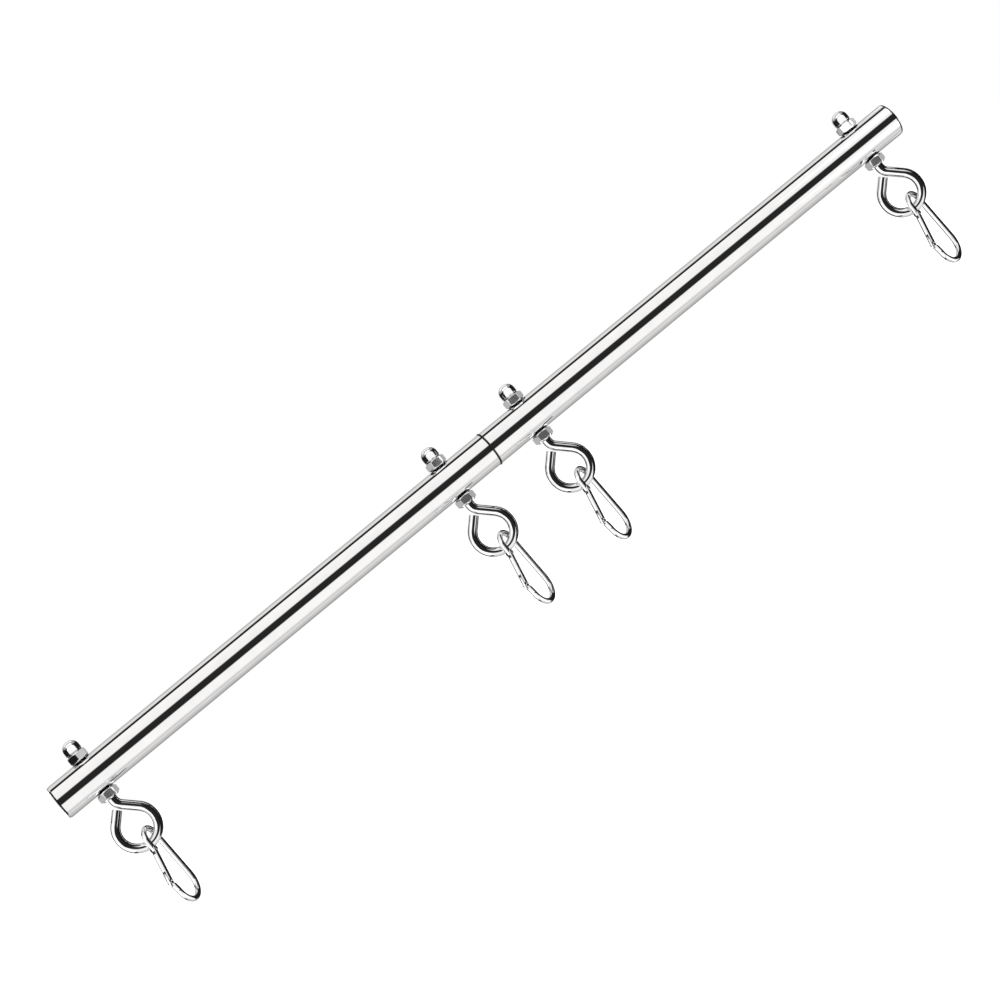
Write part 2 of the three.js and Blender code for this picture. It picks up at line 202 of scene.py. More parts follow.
def rounded(corners, radius, closed=False):
    """A polyline with its corners rounded, by one radius or one for each, up to half of a side."""
    corners = [Vector(corner) for corner in corners]
    count = len(corners)
    radii = np.broadcast_to(radius, count)
    points = []
    for i, corner in enumerate(corners):
        if not closed and i in (0, count - 1):
            points.append(corner)
            continue
        back, ahead = corners[i - 1] - corner, corners[(i + 1) % count] - corner
        reach = min(radii[i], back.length / 2, ahead.length / 2)
        start, end = corner + back.normalized() * reach, corner + ahead.normalized() * reach
        for t in np.linspace(0, 1, CORNER_STEPS + 1).tolist():
            points.append(start * (1 - t) ** 2 + corner * 2 * t * (1 - t) + end * t**2)
    return [tuple(point) for point in points]


def arc(centre, radius, start, end):
    """Points round an arc in the plane of a wire's route, with angles in radians."""
    steps = max(2, round(abs(end - start) / ARC_STEP))
    turns = np.linspace(start, end, steps + 1)
    return [Vector((centre[0] + radius * math.cos(a), centre[1] + radius * math.sin(a))) for a in turns]


def rings(points, radii, reference, sides=WIRE_SIDES):
    """Rings of points square to a route. radii holds one radius, or one for each side, per point."""
    points = [Vector(point) for point in points]
    rows = []
    for i, point in enumerate(points):
        tangent = (points[min(i + 1, len(points) - 1)] - points[max(i - 1, 0)]).normalized()
        side = tangent.cross(reference).normalized()
        up = side.cross(tangent)
        angles = np.linspace(0, 2 * math.pi, sides, endpoint=False)
        radius = np.broadcast_to(radii[i], sides)[:, None]
        round_it = np.outer(np.cos(angles), side) + np.outer(np.sin(angles), up)
        rows.append(np.array(point) + radius * round_it)
    return rows


def in_plane(points):
    return [Vector((point.x, 0, point.y)) for point in points]


def without_repeats(points):
    kept = [points[0]]
    kept += [b for a, b in zip(points, points[1:]) if (b - a).length > 1e-4]
    return kept


def thread(height, major, pitch, sides):
    """A ring of radii at one height on a right-hand thread with flats on its crests and roots."""
    angles = np.linspace(0, 2 * math.pi, sides, endpoint=False)
    phase = np.abs(2 * ((height / pitch - angles / (2 * math.pi)) % 1) - 1)
    return major - THREAD_DEPTH * pitch * np.clip(1.25 * phase - 0.125, 0, 1)


def threaded_heights(low, high, pitch):
    return np.linspace(low, high, round((high - low) / pitch * RINGS_PER_TURN) + 1)


def block(name, low, high, bevel=0.0):
    corners = itertools.product(*zip(low, high))
    faces = [(0, 1, 3, 2), (4, 6, 7, 5), (0, 4, 5, 1), (2, 3, 7, 6), (0, 2, 6, 4), (1, 5, 7, 3)]
    made = mesh_object(name, list(corners), faces)
    return bevelled(made, bevel) if bevel else made


def applied(thing):
    """Applies the object's modifiers to its mesh."""
    bpy.context.view_layer.update()
    solved = thing.evaluated_get(bpy.context.evaluated_depsgraph_get())
    mesh = bpy.data.meshes.new_from_object(solved)
    thing.modifiers.clear()
    thing.data = mesh
    return thing


def bevelled(thing, width, segments=3):
    bevel = thing.modifiers.new("bevel", "BEVEL")
    bevel.width = width * MM
    bevel.segments = segments
    bevel.angle_limit = BEVEL_ANGLE
    return applied(thing)


def combined(thing, tool, operation):
    """Joins or cuts with a tool, which is used up."""
    boolean = thing.modifiers.new("boolean", "BOOLEAN")
    boolean.operation = operation
    boolean.solver = "EXACT"
    boolean.object = tool
    applied(thing)
    bpy.data.objects.remove(tool)
    return thing


def moved(thing, matrix):
    thing.data.transform(matrix)
    return thing


def cross_rod(name, radius, half, sides=48):
    """A rod along Y, square to the plane of a hook."""
    made = lathe(name, [(radius, -half), (radius, half)], sides)
    return moved(made, Matrix.Rotation(math.pi / 2, 4, "X"))


def finished(thing):
    """Takes the mesh off its working object, with smooth shading up to its real edges."""
    mesh = thing.data
    mesh.shade_smooth()
    mesh.set_sharp_from_angle(angle=SHARP_ANGLE)
    bpy.data.objects.remove(thing)
    return mesh


# ---- tubes, caps and the joint between the halves ----
# What both halves have is drawn for the right one, and turned about Z for the left.

ALONG_X = Matrix.Rotation(math.pi / 2, 4, "Y")


def tube():
    wall = [(BORE_RADIUS, TUBE_FACE), (TUBE_RADIUS, TUBE_FACE),
            (TUBE_RADIUS, RIM_START), (BORE_RADIUS, RIM_START)]
    lips = [SEAM_LIP, SEAM_LIP, FINE_EDGE, FINE_EDGE]
    made = lathe("tube", rounded(wall, lips, closed=True), TUBE_SIDES, closed=True)
    made = moved(made, ALONG_X)
    for name in ("right_inner", "right_outer"):
        station = joints[f"{name}_eye_turn"]["pos_m"][0]
        drill = lathe("drill", [(TUBE_HOLE, -2 * TUBE_RADIUS), (TUBE_HOLE, 2 * TUBE_RADIUS)], sides=48)
        made = combined(made, moved(drill, Matrix.Translation((station, 0, 0))), "DIFFERENCE")
    return finished(made)


def tube_rim():
    """The chamfered outer end of a tube, a piece of its own so that it can be lit on its own."""
    wall = [(BORE_RADIUS, RIM_START), (TUBE_RADIUS, RIM_START),
            (TUBE_RADIUS - RIM_DROP, HALF_LENGTH), (BORE_RADIUS, HALF_LENGTH)]
    made = lathe("tube_rim", rounded(wall, FINE_EDGE, closed=True), TUBE_SIDES, closed=True)
    return finished(moved(made, ALONG_X))


def end_cap():
    """A shallow dome over the end of a tube, on a spigot that sits in the bore."""
    sphere = (CAP_RADIUS**2 + CAP_HEIGHT**2) / (2 * CAP_HEIGHT)
    dome = []
    for share in np.linspace(0.97, 0.01, 20):
        radius = CAP_RADIUS * share
        dome.append((radius, math.sqrt(sphere**2 - radius**2) - sphere + CAP_HEIGHT))
    chamfer, gap = 0.5, 0.1
    spigot = [(PLUG_RADIUS - chamfer, -SPIGOT_LENGTH), (PLUG_RADIUS, -SPIGOT_LENGTH + chamfer),
              (PLUG_RADIUS, gap), (CAP_RADIUS - gap, gap), (CAP_RADIUS, 2 * gap)]
    made = moved(lathe("end_cap", spigot + dome, sides=128), ALONG_X)
    return finished(moved(made, Matrix.Translation((HALF_LENGTH * MM, 0, 0))))


def joint_plug(bore):
    near, far = TUBE_FACE, TUBE_FACE + PLUG_LENGTH
    wall = [(bore, near), (PLUG_RADIUS, near), (PLUG_RADIUS, far), (bore, far)]
    return finished(moved(lathe("joint_plug", rounded(wall, 0.5, closed=True), closed=True), ALONG_X))


def joining_stud():
    low, high = (corner.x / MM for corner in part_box("joining_stud"))
    sides, chamfer = 64, 1.0
    angles = np.linspace(0, 2 * math.pi, sides, endpoint=False)
    rows = []
    for height in threaded_heights(low, high, STUD_PITCH):
        end_room = min(height - low, high - height)
        limit = STUD_RADIUS - chamfer + end_room
        radius = np.minimum(thread(height, STUD_RADIUS, STUD_PITCH, sides), limit)
        rows.append(np.column_stack([radius * np.cos(angles), radius * np.sin(angles),
                                     np.full(sides, height)]))
    return finished(moved(skin("joining_stud", rows), ALONG_X))


def seam_washer():
    inner, outer = STUD_RADIUS + CLEARANCE, washer_high.z
    near, far = washer_low.x, washer_high.x
    wall = [(inner, near), (outer, near), (outer, far), (inner, far)]
    made = lathe("seam_washer", rounded(wall, 0.3, closed=True), TUBE_SIDES, closed=True)
    return finished(moved(made, ALONG_X))


# ---- nuts and eye bolts, in the frame of an eye ----


def nut_blank(land_top, land_bottom):
    """A drilled hexagon, flats facing Y, with coned ends.

    The lands are how far the cones come down the middle of each flat.
    """
    corners = [(NUT_CORNER * math.cos(turn), NUT_CORNER * math.sin(turn))
               for turn in np.radians(range(0, 360, 60))]
    made = skin("hexagon", [[(x, y, z) for x, y in corners] for z in (0, NUT_HEIGHT)])
    slope = math.tan(NUT_CONE)
    fall = (NUT_CORNER - ACROSS_FLATS / 2) * slope
    bottom, top = land_bottom + fall, NUT_HEIGHT - land_top - fall
    profile = [(NUT_CORNER - bottom / slope, 0), (NUT_CORNER, bottom),
               (NUT_CORNER, top), (NUT_CORNER - (NUT_HEIGHT - top) / slope, NUT_HEIGHT)]
    # A touch wider than the hexagon, so that the cylinder's facets stay off its corners
    turned = lathe("turned", [(radius * 1.0005, z) for radius, z in profile], sides=144)
    made = combined(made, turned, "INTERSECT")
    mouth, thread_hole, sink, past = BOLT_RADIUS + 0.7, BOLT_RADIUS + CLEARANCE, 0.5, 0.1
    hole = lathe("hole", [(mouth, -past), (thread_hole, sink), (thread_hole, NUT_HEIGHT - sink),
                          (mouth, NUT_HEIGHT + past)], sides=64)
    return bevelled(combined(made, hole, "DIFFERENCE"), NUT_EDGE)


def hex_nut():
    made = nut_blank(land_top=0.5, land_bottom=0.8)
    return finished(moved(made, Matrix.Translation((0, 0, -(NUT_SEAT + NUT_HEIGHT) * MM))))


def cap_nut_base():
    made = nut_blank(land_top=1.1, land_bottom=0.4)
    return finished(moved(made, Matrix.Translation((0, 0, NUT_SEAT * MM))))


def cap_nut_dome():
    """The dome, hollow over the end of the bolt, standing on the hexagon with a rounded foot."""
    foot, sunk, thread_hole, depth = 0.35, 0.3, BOLT_RADIUS + CLEARANCE, 11.0
    profile = [(thread_hole, NUT_HEIGHT - sunk), (DOME_RADIUS - foot, NUT_HEIGHT - sunk),
               (DOME_RADIUS - foot, NUT_HEIGHT), (DOME_RADIUS, NUT_HEIGHT + foot)]
    for turn in np.linspace(0, math.radians(89.2), 32):
        height = DOME_SHOULDER + (CAP_NUT_HEIGHT - DOME_SHOULDER) * math.sin(turn)
        profile.append((DOME_RADIUS * math.cos(turn), height))
    profile += [(0.05, depth), (thread_hole, depth)]
    made = lathe("cap_nut_dome", profile, closed=True)
    return finished(moved(made, Matrix.Translation((0, 0, NUT_SEAT * MM))))


def eye_route():
    """The wire from the foot of the shank round the eye to its cut end."""
    bend = KNEE_RADIUS * math.tan(math.pi / 8)
    tangent = RING_RADIUS * math.sqrt(0.5)
    tip = (RING_RADIUS - EYE_WIRE - TIP_GAP) * math.sqrt(0.5)
    start = [Vector((0, z)) for z in np.linspace(BOLT_FOOT, KNEE_Z + bend, 4)]
    knee = arc((KNEE_RADIUS, KNEE_Z + bend), KNEE_RADIUS, math.pi, 1.25 * math.pi)
    ring = arc((RING_OFFSET, RING_Z), RING_RADIUS, 0.25 * math.pi, -1.25 * math.pi)
    end = Vector((RING_OFFSET - tangent + tip, RING_Z + tangent + tip))
    return without_repeats(start + knee + ring + [end])


def eye_bolt():
    """One skin from the top of the threaded shank to the square-cut end of the eye."""
    run_out, neck = BOLT_FOOT + 1.2, BOLT_FOOT + 0.6
    neck_radius, top_chamfer, cut_chamfer = BOLT_RADIUS - 0.5, 1.0, 0.25
    heights = threaded_heights(run_out, BOLT_TOP, BOLT_PITCH)[::-1]
    radii = []
    for z in heights:
        limit = BOLT_RADIUS - top_chamfer + BOLT_TOP - z
        radii.append(np.minimum(thread(z, BOLT_RADIUS, BOLT_PITCH, WIRE_SIDES), limit))
    *route, tip = eye_route()
    back = (route[-1] - tip).normalized()
    shank = [Vector((0, z)) for z in heights] + [Vector((0, neck))]
    points = shank + route + [tip + back * cut_chamfer, tip]
    radii += [neck_radius] + [EYE_WIRE] * (len(route) + 1) + [EYE_WIRE - cut_chamfer]
    return finished(skin("eye_bolt", rings(in_plane(points), radii, Vector((0, 1, 0)))))


# ---- snap hooks ----

gate_direction = (LATCH - PIVOT).normalized()
gate_angle = math.atan2(-gate_direction.x, -gate_direction.y)
# The gate's own frame: x across it towards the spine, z along it away from the pivot
GATE_FRAME = (Matrix.Translation((PIVOT.x * MM, 0, PIVOT.y * MM))
              @ Matrix.Rotation(gate_angle, 4, "Y") @ Matrix.Rotation(math.pi, 4, "X"))
LATCH_PIN_FRAME = GATE_FRAME @ Matrix.Translation((-LATCH_PIN_SET_BACK * MM, 0, GATE_LENGTH * MM))


def hook_route():
    """The wire from the pivot over the top, down the spine and round the bow to the latch."""
    centres = BOW_CENTRE - TOP_CENTRE
    spread = math.asin((BOW_RADIUS - TOP_RADIUS) / centres.length)
    spine = math.atan2(centres.x, -centres.y) + spread
    start = [Vector((PIVOT.x, PIVOT.y + GATE_RADIUS + CLEARANCE)), Vector((PIVOT.x, TOP_CENTRE.y))]
    top = arc(TOP_CENTRE, TOP_RADIUS, math.pi, spine)
    bow = arc(BOW_CENTRE, BOW_RADIUS, spine, -math.pi)
    return without_repeats(start + top + bow + [LATCH])


def hook_body():
    route = hook_route()
    made = skin("hook_body", rings(in_plane(route), [HOOK_WIRE] * len(route), Vector((0, 1, 0))))
    wide, cut_back, cut_past = 2 * HOOK_WIRE, 7.0, 0.3
    clear = block("clear", (-wide, -wide, GATE_END - cut_back), (wide, wide, GATE_END + cut_past))
    nose = block("nose", (-GATE_RADIUS, -TONGUE_HALF, GATE_END - NECK_LENGTH),
                 (GATE_RADIUS - LATCH_WALL - CLEARANCE, TONGUE_HALF, GATE_END + HOOK_WIRE), bevel=0.15)
    made = combined(made, moved(clear, GATE_FRAME), "DIFFERENCE")
    made = combined(made, moved(nose, GATE_FRAME), "UNION")
    pivot = Matrix.Translation((PIVOT.x * MM, 0, PIVOT.y * MM))
    tongue_radius, neck_half, neck_top = GATE_RADIUS - 0.3, HOOK_WIRE - 0.2, GATE_RADIUS + 1.5
    eye = cross_rod("eye", tongue_radius, TONGUE_HALF)
    neck = block("neck", (-neck_half, -TONGUE_HALF, 0), (neck_half, TONGUE_HALF, neck_top), bevel=0.1)
    for part in (eye, neck):
        made = combined(made, moved(part, pivot), "UNION")
    rivet_hole = moved(cross_rod("hole", RIVET_RADIUS + CLEARANCE, wide), pivot)
    pin_hole = moved(cross_rod("hole", LATCH_PIN_RADIUS + 0.1, wide), LATCH_PIN_FRAME)
    for hole in (rivet_hole, pin_hole):
        made = combined(made, hole, "DIFFERENCE")
    return finished(made)


def gate():
    """A round bar with a rounded pivot end, slotted at both ends and notched for the latch pin."""
    wide = 2 * GATE_RADIUS
    made = lathe("gate", [(GATE_RADIUS, -GATE_RADIUS), (GATE_RADIUS, GATE_END)], sides=64)
    keep = combined(cross_rod("keep", GATE_RADIUS, wide, sides=64),
                    block("length", (-wide, -wide, 0), (wide, wide, GATE_END + 1)), "UNION")
    made = combined(made, keep, "INTERSECT")
    notch = LATCH_PIN_RADIUS + CLEARANCE
    cuts = [
        block("pivot_slot", (-wide, -SLOT_HALF, -wide), (wide, SLOT_HALF, PIVOT_SLOT_END)),
        block("latch_slot", (-wide, -SLOT_HALF, GATE_END - LATCH_SLOT_LENGTH),
              (GATE_RADIUS - LATCH_WALL, SLOT_HALF, GATE_END + 1)),
        block("notch", (-wide, -wide, GATE_LENGTH - notch),
              (notch - LATCH_PIN_SET_BACK, wide, GATE_LENGTH + notch)),
        cross_rod("hole", RIVET_RADIUS + CLEARANCE, wide, sides=32),
        lathe("bore", [(SPRING_BORE, 0), (SPRING_BORE, SPRING_ENDS[1] + 0.5)], sides=32),
    ]
    for cut in cuts:
        made = combined(made, cut, "DIFFERENCE")
    return finished(moved(bevelled(made, width=0.1, segments=2), GATE_FRAME))


def gate_rivet():
    """A pin with a low crowned head at each end."""
    seat, far = GATE_RADIUS + 0.1, GATE_RADIUS + 0.6
    crown = [(0.05, far), (0.6, far - 0.04), (1.1, far - 0.16),
             (RIVET_HEAD, seat + 0.12), (RIVET_HEAD, seat)]
    profile = [(r, -z) for r, z in crown] + [(RIVET_RADIUS, -seat), (RIVET_RADIUS, seat)] + crown[::-1]
    made = moved(lathe("gate_rivet", profile, sides=48), Matrix.Rotation(math.pi / 2, 4, "X"))
    return finished(moved(made, GATE_FRAME))


def latch_pin():
    radius, end, chamfer = LATCH_PIN_RADIUS, LATCH_PIN_HALF, 0.15
    profile = [(radius - chamfer, -end), (radius, -end + chamfer),
               (radius, end - chamfer), (radius - chamfer, end)]
    made = moved(lathe("latch_pin", profile, sides=32), Matrix.Rotation(math.pi / 2, 4, "X"))
    return finished(moved(made, LATCH_PIN_FRAME))


def gate_spring():
    turns = np.linspace(0, 2 * math.pi * SPRING_TURNS, 24 * SPRING_TURNS + 1)
    heights = np.linspace(*SPRING_ENDS, len(turns))
    coil = [Vector((SPRING_RADIUS * math.cos(a), SPRING_RADIUS * math.sin(a), z))
            for a, z in zip(turns, heights)]
    rows = rings(coil, [SPRING_WIRE] * len(coil), Vector((0, 0, 1)), sides=12)
    return finished(moved(skin("gate_spring", rows), GATE_FRAME))


# ---- materials ----


class Nodes:
    """Adds shader nodes to a tree and wires them."""

    def __init__(self, tree):
        self.tree = tree

    def add(self, kind, **settings):
        """Adds a node. A setting goes to the input of its name, or else to the property."""
        node = self.tree.nodes.new(kind)
        for name, value in settings.items():
            if name in node.inputs:
                node.inputs[name].default_value = value
            else:
                setattr(node, name, value)
        return node

    def link(self, output, node, name):
        self.tree.links.new(output, node.inputs[name])

    def calculated(self, operation, *values):
        """A sum on numbers or on the outputs of other nodes."""
        node = self.add("ShaderNodeMath", operation=operation)
        for place, value in zip(node.inputs, values):
            if isinstance(value, (int, float)):
                place.default_value = value
            else:
                self.tree.links.new(value, place)
        return node.outputs["Value"]

    def mixed(self, share, first, second):
        """One colour or another, by a share from 0 to 1."""
        node = self.add("ShaderNodeMix", data_type="RGBA")
        self.link(share, node, "Factor")
        for name, colour in (("A", first), ("B", second)):
            if isinstance(colour, tuple):
                node.inputs[name].default_value = colour
            else:
                self.link(colour, node, name)
        return node.outputs["Result"]

    def noise(self, scale, stretch, detail=3.0):
        """Noise in the piece's own space, drawn out along the axes with a small stretch."""
        place = self.add("ShaderNodeTexCoord")
        mapping = self.add("ShaderNodeMapping", Scale=stretch)
        noise = self.add("ShaderNodeTexNoise", Scale=scale, Detail=detail)
        self.link(place.outputs["Object"], mapping, "Vector")
        self.link(mapping.outputs["Vector"], noise, "Vector")
        return noise.outputs["Fac"]

    def ranged(self, value, low, high, start=0.3, end=0.7):
        """A value spread from one range over another. Noise seldom leaves 0.3 to 0.7."""
        spread = self.add("ShaderNodeMapRange")
        for name, limit in (("From Min", start), ("From Max", end), ("To Min", low), ("To Max", high)):
            spread.inputs[name].default_value = limit
        self.link(value, spread, "Value")
        return spread.outputs["Result"]

    def openness(self, distance):
        """0 deep in a slot or where pieces meet, rising to 1 on open faces: the mask for painted shade."""
        sight = self.add("ShaderNodeAmbientOcclusion", samples=8, Distance=distance)
        return self.ranged(sight.outputs["AO"], 0.0, 1.0, 0.35, 0.8)

    def edges(self, radius):
        """1 along the piece's sharp edges and 0 away from them, over a radius in metres."""
        bevel = self.add("ShaderNodeBevel", samples=4, Radius=radius)
        across = self.add("ShaderNodeVectorMath", operation="DOT_PRODUCT")
        self.tree.links.new(bevel.outputs["Normal"], across.inputs[0])
        self.tree.links.new(self.add("ShaderNodeNewGeometry").outputs["Normal"], across.inputs[1])
        turned = self.calculated("SUBTRACT", 1.0, across.outputs["Value"])
        return self.calculated("MINIMUM", self.calculated("MULTIPLY", turned, 8.0), 1.0)


def blank_material(name):
    material = bpy.data.materials.new(name)
    material.use_nodes = True
    shader = material.node_tree.nodes["Principled BSDF"]
    return material, Nodes(material.node_tree), shader


# Painted shade: a nearly black colour laid into crevices and where pieces meet, in place of their shadow
PAINTED_CREVICE_SHADE = (0.02, 0.019, 0.018, 1)
RUBBED_METAL = (0.98, 0.98, 0.98, 1)
EVEN = (1, 1, 1)
PATCH_SCALE = 90
EDGE_WEAR = 0.5
EDGE_WIDTH = 0.0003
CREVICE_WIDTH = 0.0014


def metal(name, bright, dull, roughness, grain, grain_scale, relief):
    """Polished or drawn metal: duller in patches, rubbed bright along edges, with shade painted nearly black into
    crevices and where pieces meet.

    grain draws the polishing lines out along an axis, and relief is their depth in metres.
    """
    material, nodes, shader = blank_material(name)
    shader.inputs["Metallic"].default_value = 1.0
    lines = nodes.noise(grain_scale, grain, detail=4.0)
    patches = nodes.noise(PATCH_SCALE, EVEN)
    wear = nodes.ranged(patches, 0.4 * EDGE_WEAR, EDGE_WEAR)
    rubbed = nodes.calculated("MULTIPLY", nodes.edges(EDGE_WIDTH), wear)
    tint = nodes.mixed(nodes.ranged(patches, 0.0, 1.0), (*bright, 1), (*dull, 1))
    unshaded_colour = nodes.mixed(rubbed, tint, RUBBED_METAL)
    # Painted shade: the base colour turns nearly black where ambient occlusion finds a crevice or a contact
    # between pieces
    nodes.link(nodes.mixed(nodes.openness(CREVICE_WIDTH), PAINTED_CREVICE_SHADE, unshaded_colour), shader, "Base Color")
    smooth = nodes.ranged(lines, roughness * 0.75, roughness * 1.3)
    nodes.link(nodes.calculated("MULTIPLY_ADD", rubbed, 0.12, smooth), shader, "Roughness")
    bump = nodes.add("ShaderNodeBump", Strength=1.0, Distance=relief)
    nodes.link(lines, bump, "Height")
    nodes.link(bump.outputs["Normal"], shader, "Normal")
    return material


def fibre(name):
    """Matt black pressed fibre, paler where its edges are frayed."""
    material, nodes, shader = blank_material(name)
    speckle = nodes.noise(2600, EVEN)
    black, grey, frayed = (0.008, 0.008, 0.008, 1), (0.03, 0.03, 0.03, 1), (0.06, 0.06, 0.06, 1)
    tint = nodes.mixed(nodes.ranged(speckle, 0.0, 1.0), black, grey)
    nodes.link(nodes.mixed(nodes.edges(0.0002), tint, frayed), shader, "Base Color")
    nodes.link(nodes.ranged(speckle, 0.55, 0.8), shader, "Roughness")
    bump = nodes.add("ShaderNodeBump", Strength=0.6, Distance=0.00004)
    nodes.link(speckle, bump, "Height")
    nodes.link(bump.outputs["Normal"], shader, "Normal")
    return material


METALS = {
    "polished_tube": dict(bright=(0.95, 0.94, 0.93), dull=(0.90, 0.89, 0.89), roughness=0.05,
                          grain=(0.02, 1, 1), grain_scale=3000, relief=2e-7),
    "end_cap": dict(bright=(0.93, 0.93, 0.93), dull=(0.88, 0.88, 0.88), roughness=0.09,
                    grain=EVEN, grain_scale=2200, relief=3e-7),
    "nut_steel": dict(bright=(0.84, 0.84, 0.85), dull=(0.74, 0.74, 0.75), roughness=0.13,
                      grain=(1, 1, 0.1), grain_scale=2600, relief=1e-6),
    "eye_steel": dict(bright=(0.90, 0.90, 0.91), dull=(0.82, 0.82, 0.83), roughness=0.07,
                      grain=EVEN, grain_scale=1800, relief=4e-7),
    "hook_steel": dict(bright=(0.92, 0.92, 0.93), dull=(0.85, 0.85, 0.86), roughness=0.08,
                       grain=EVEN, grain_scale=2000, relief=4e-7),
    "pin_steel": dict(bright=(0.75, 0.75, 0.76), dull=(0.62, 0.62, 0.63), roughness=0.24,
                      grain=EVEN, grain_scale=3500, relief=8e-7),
    "joint_steel": dict(bright=(0.68, 0.68, 0.69), dull=(0.55, 0.55, 0.56), roughness=0.3,
                        grain=(1, 0.05, 0.05), grain_scale=4000, relief=2e-6),
}
materials = {name: metal(name, **look) for name, look in METALS.items()}
materials["black_washer"] = fibre("black_washer")


# ---- placing the pieces ----


def place(node, mesh, matrix, part=""):
    """Shows a mesh in place of a CAD node, or of a part of it, on its body and in its material."""
    slot = slot_of[node]
    placed = mesh.copy()
    placed.transform(matrix)
    placed.materials.append(materials[slot])
    piece = bpy.data.objects.new(f"{node}{part}_visual", placed)
    bpy.context.scene.collection.objects.link(piece)
    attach(piece, body_of[node])
    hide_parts(node)


def eye_frame(name):
    """Where a station's eye bolt stands, turned as its hook's swing axis is."""
    swing = Vector(joints[f"{name}_hook_swing"]["axis"])
    turn = Matrix.Rotation(math.atan2(swing.y, swing.x), 4, "Z")
    return Matrix.Translation(joints[f"{name}_eye_turn"]["pos_m"]) @ turn


def hook_frame(name):
    """A hook's own frame, from the two joints whose places in it are known."""
    seat = Vector(joints[f"{name}_hook_swing"]["pos_m"])
    arm = Vector(joints[f"{name}_gate_open"]["pos_m"]) - seat
    across = -Vector(joints[f"{name}_gate_open"]["axis"])
    square = across.cross(arm)
    u = (PIVOT.x * arm + PIVOT.y * square).normalized()
    v = u.cross(across)
    return Matrix.Translation(seat) @ Matrix((u, across, v)).transposed().to_4x4()


def cap_nut_turn(name):
    """How far a cap nut is turned, from the CAD nut's own corner."""
    corners = [vertex.co for vertex in frame["nodes"][f"{name}_cap_nut"].data.vertices]
    centre = Vector(joints[f"{name}_eye_turn"]["pos_m"])
    arms = [Vector((corner.x - centre.x, corner.y)) for corner in corners]
    longest = max(arms, key=lambda arm: arm.length)
    return math.atan2(longest.y, longest.x)


def place_halves():
    turned = Matrix.Rotation(math.pi, 4, "Z")
    tube_mesh, rim_mesh, cap_mesh = tube(), tube_rim(), end_cap()
    plugs = {"left": joint_plug(STUD_RADIUS + CLEARANCE), "right": joint_plug(STUD_RADIUS + 0.1)}
    for side, matrix in (("left", turned), ("right", Matrix())):
        place(f"{side}_tube", tube_mesh, matrix)
        place(f"{side}_tube", rim_mesh, matrix, "_rim")
        place(f"{side}_end_cap", cap_mesh, matrix)
        place(f"{side}_joint_plug", plugs[side], matrix)
    place("joining_stud", joining_stud(), Matrix())
    place("seam_washer", seam_washer(), Matrix())


def place_stations():
    on_eye = {"eye_bolt": eye_bolt(), "hex_nut": hex_nut()}
    on_hook = {"hook_body": hook_body(), "gate": gate(), "gate_rivet": gate_rivet(),
               "latch_pin": latch_pin(), "gate_spring": gate_spring()}
    base, dome = cap_nut_base(), cap_nut_dome()
    for name in STATIONS:
        for part, mesh in on_eye.items():
            place(f"{name}_{part}", mesh, eye_frame(name))
        for part, mesh in on_hook.items():
            place(f"{name}_{part}", mesh, hook_frame(name))
        upright = Matrix.Translation(joints[f"{name}_eye_turn"]["pos_m"])
        place(f"{name}_cap_nut", base, upright @ Matrix.Rotation(cap_nut_turn(name), 4, "Z"))
        place(f"{name}_cap_nut", dome, upright, "_dome")


# ---- studio ----


def camera():
    """A long lens, a little to the left of the bar's middle and rolled so that the bar rises."""
    distance, aside, above = 1.6, 0.0162, 0.0307
    yaw, roll = math.radians(9), math.radians(39.6)
    ahead = Vector((math.sin(yaw), math.cos(yaw), 0))
    right = Vector((math.cos(yaw), -math.sin(yaw), 0))
    up = Vector((0, 0, 1))
    across = right * math.cos(roll) - up * math.sin(roll)
    upward = right * math.sin(roll) + up * math.cos(roll)
    data = bpy.data.cameras.new("camera")
    data.lens = 86.0
    made = bpy.data.objects.new("camera", data)
    bpy.context.scene.collection.objects.link(made)
    place_at = -(ahead * distance + right * aside + up * above)
    turn = Matrix((across, upward, -ahead)).transposed().to_4x4()
    made.matrix_world = Matrix.Translation(place_at) @ turn
    bpy.context.scene.camera = made


def floor():
    """A plain white floor, 0.16 m under the hooks, that the metal doesn't reflect."""
    half, thick, drop = 40 / MM, 0.4 / MM, 0.16 / MM
    top = cad_box[0].z / MM - drop
    made = block("floor", (-half, -half, top - thick), (half, half, top))
    material, nodes, shader = blank_material("floor")
    shader.inputs["Base Color"].default_value = (0.9, 0.9, 0.9, 1)
    shader.inputs["Emission Color"].default_value = (1, 1, 1, 1)
    shader.inputs["Emission Strength"].default_value = 1.0
    made.data.materials.append(material)
    made.visible_glossy = False
    made.visible_diffuse = False
    made.visible_shadow = False


# The studio as polished metal reflects it: how bright it is at each angle round the bar, in degrees
# from straight in front of the bar, up over it and on to the back, and down under it likewise.
STUDIO = [
    (-180, 0.40), (-150, 0.31), (-135, 0.50), (-115, 0.62), (-96, 0.80), (-87, 0.60), (-78, 0.88),
    (-70, 1.02), (-22, 1.00), (-18, 0.015), (-4, 0.02), (19, 0.02), (24, 0.96), (86, 1.02),
    (88, 0.005), (103.5, 0.005), (107, 0.60), (117, 0.90), (132, 0.65), (150, 0.50), (180, 0.50),
]
WALL_GREY = 0.012
WALL_LEAN = 0.1
WALL_EDGE = (0.52, 0.56)
LIGHT_DISTANCE = 6.0


def each(*kinds):
    return [f"{station}_{kind}" for station in STATIONS for kind in kinds]


HOOKS = each("hook_body", "gate", "gate_rivet", "latch_pin")
NUTS = each("cap_nut", "hex_nut")
# The first cap nut is turned so that its facets, not its edges, would catch the edge lights
EDGED_NUTS = [nut for nut in NUTS if nut != "left_outer_cap_nut"]
TUBES = ["left_tube", "right_tube", "left_end_cap", "right_end_cap"]
